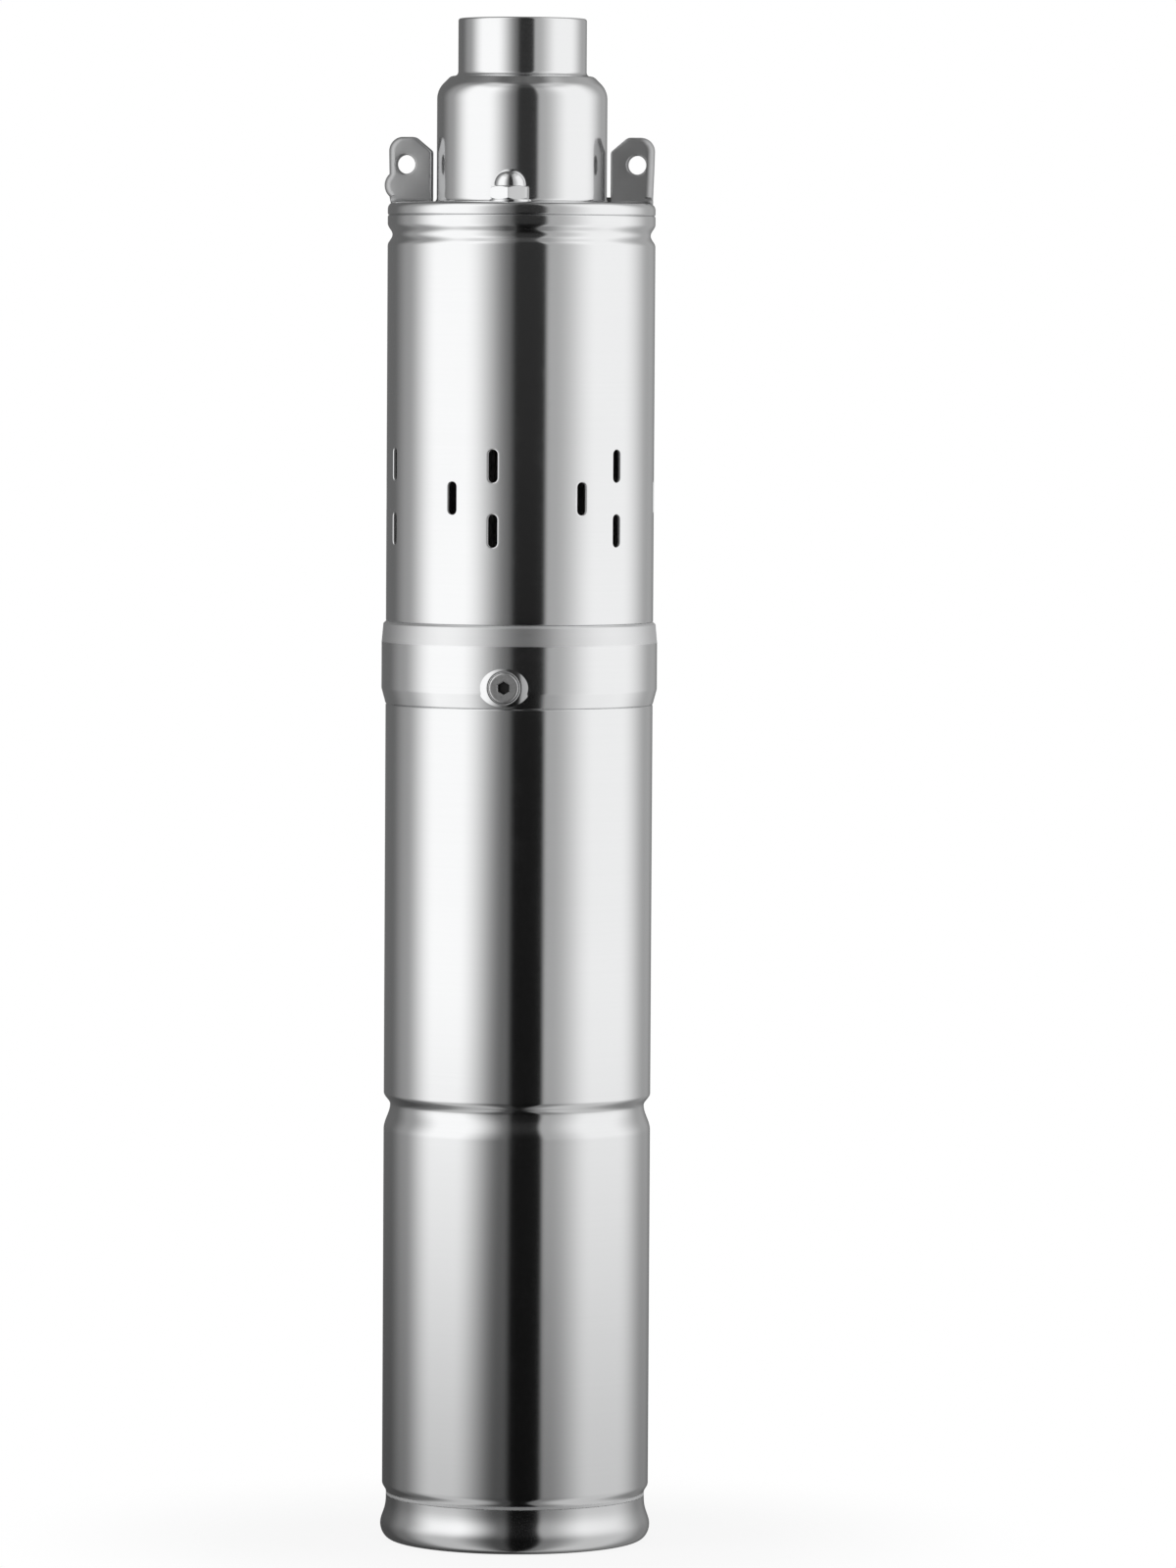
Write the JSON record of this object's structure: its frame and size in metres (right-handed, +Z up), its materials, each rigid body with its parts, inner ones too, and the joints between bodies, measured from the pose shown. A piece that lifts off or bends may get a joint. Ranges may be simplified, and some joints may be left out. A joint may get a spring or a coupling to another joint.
{
  "type": "borehole submersible pump",
  "caption": "Slim stainless borehole submersible screw pump with a threaded outlet, lifting lugs, a slotted intake sleeve, a sealed motor tube and a domed base.",
  "frame": {"origin": "centre of the base cap's flat underside", "axes": "+Z up the pump's axis towards the outlet, -Y towards the front with the oil plug"},
  "size_m": [0.099, 0.1002, 0.5471],
  "materials": {
    "polished_stainless": "mirror polished stainless steel",
    "machined_steel": "turned and ground steel",
    "spring_steel": "hardened spring steel",
    "core_steel": "stacked silicon steel sheet",
    "cast_iron": "machined casting",
    "copper": "enamelled copper",
    "brass": "pressed brass",
    "rubber": "moulded nitrile rubber",
    "seal_ceramic": "lapped ceramic",
    "seal_carbon": "carbon face in a pressed steel case",
    "aluminium": "die-cast and drawn aluminium",
    "plastic": "moulded plastic"
  },
  "bodies": {
    "casing": {"outlet_head": "polished_stainless", "cap_nuts": "polished_stainless", "nut_washers": "machined_steel", "tie_studs": "machined_steel", "cable_grommet": "rubber", "head_o_ring": "rubber", "intake_sleeve": "polished_stainless", "stator_tube": "machined_steel", "stator_rubber": "rubber", "intake_bracket": "cast_iron", "end_bell": "polished_stainless", "lead_grommet": "rubber", "oil_plug": "polished_stainless", "oil_plug_washer": "copper", "bell_o_ring": "rubber", "seal_seat": "seal_ceramic", "seal_seat_cup": "rubber", "upper_bearing_outer_ring": "machined_steel", "motor_tube": "polished_stainless", "stator_core": "core_steel", "stator_windings": "copper", "lower_bearing_holder": "cast_iron", "lower_bearing_outer_ring": "machined_steel", "capacitor": "aluminium", "capacitor_terminals": "brass", "capacitor_cradle": "plastic", "base_cap": "polished_stainless", "base_o_ring": "rubber"},
    "motor_rotor": {"motor_shaft": "machined_steel", "rotor_core": "core_steel", "rotor_end_rings": "aluminium", "upper_bearing_inner_ring": "machined_steel", "lower_bearing_inner_ring": "machined_steel", "shaft_circlips": "spring_steel", "seal_spring_seat": "machined_steel", "seal_spring": "spring_steel", "seal_head": "seal_carbon", "sand_slinger": "rubber", "shaft_coupling": "machined_steel", "coupling_screws": "spring_steel"},
    "flexible_drive": {"flexible_shaft": "spring_steel"},
    "pump_screw": {"screw_rotor": "machined_steel"},
    "upper_ball_set": {"upper_bearing_balls": "machined_steel", "upper_bearing_cage": "brass"},
    "lower_ball_set": {"lower_bearing_balls": "machined_steel", "lower_bearing_cage": "brass"}
  },
  "joints": [
    {"name": "motor_spin", "type": "hinge", "parent": "casing", "child": "motor_rotor", "pos_m": [0, 0, 0.22], "axis": [0, 0, 1], "continuous": true},
    {"name": "screw_orbit", "type": "hinge", "parent": "casing", "child": "flexible_drive", "pos_m": [0, 0, 0.3545], "axis": [0, 0, 1], "continuous": true},
    {"name": "screw_spin", "type": "hinge", "parent": "flexible_drive", "child": "pump_screw", "pos_m": [0.0025, 0, 0.3905], "axis": [0, 0, 1], "continuous": true},
    {"name": "upper_ball_spin", "type": "hinge", "parent": "casing", "child": "upper_ball_set", "pos_m": [0, 0, 0.2876], "axis": [0, 0, 1], "continuous": true},
    {"name": "lower_ball_spin", "type": "hinge", "parent": "casing", "child": "lower_ball_set", "pos_m": [0, 0, 0.1616], "axis": [0, 0, 1], "continuous": true}
  ],
  "couplings": [
    {"joint": "screw_orbit", "follows": "motor_spin", "ratio": -1},
    {"joint": "screw_spin", "follows": "motor_spin", "ratio": 2},
    {"joint": "upper_ball_spin", "follows": "motor_spin", "ratio": 0.38},
    {"joint": "lower_ball_spin", "follows": "motor_spin", "ratio": 0.38}
  ]
}
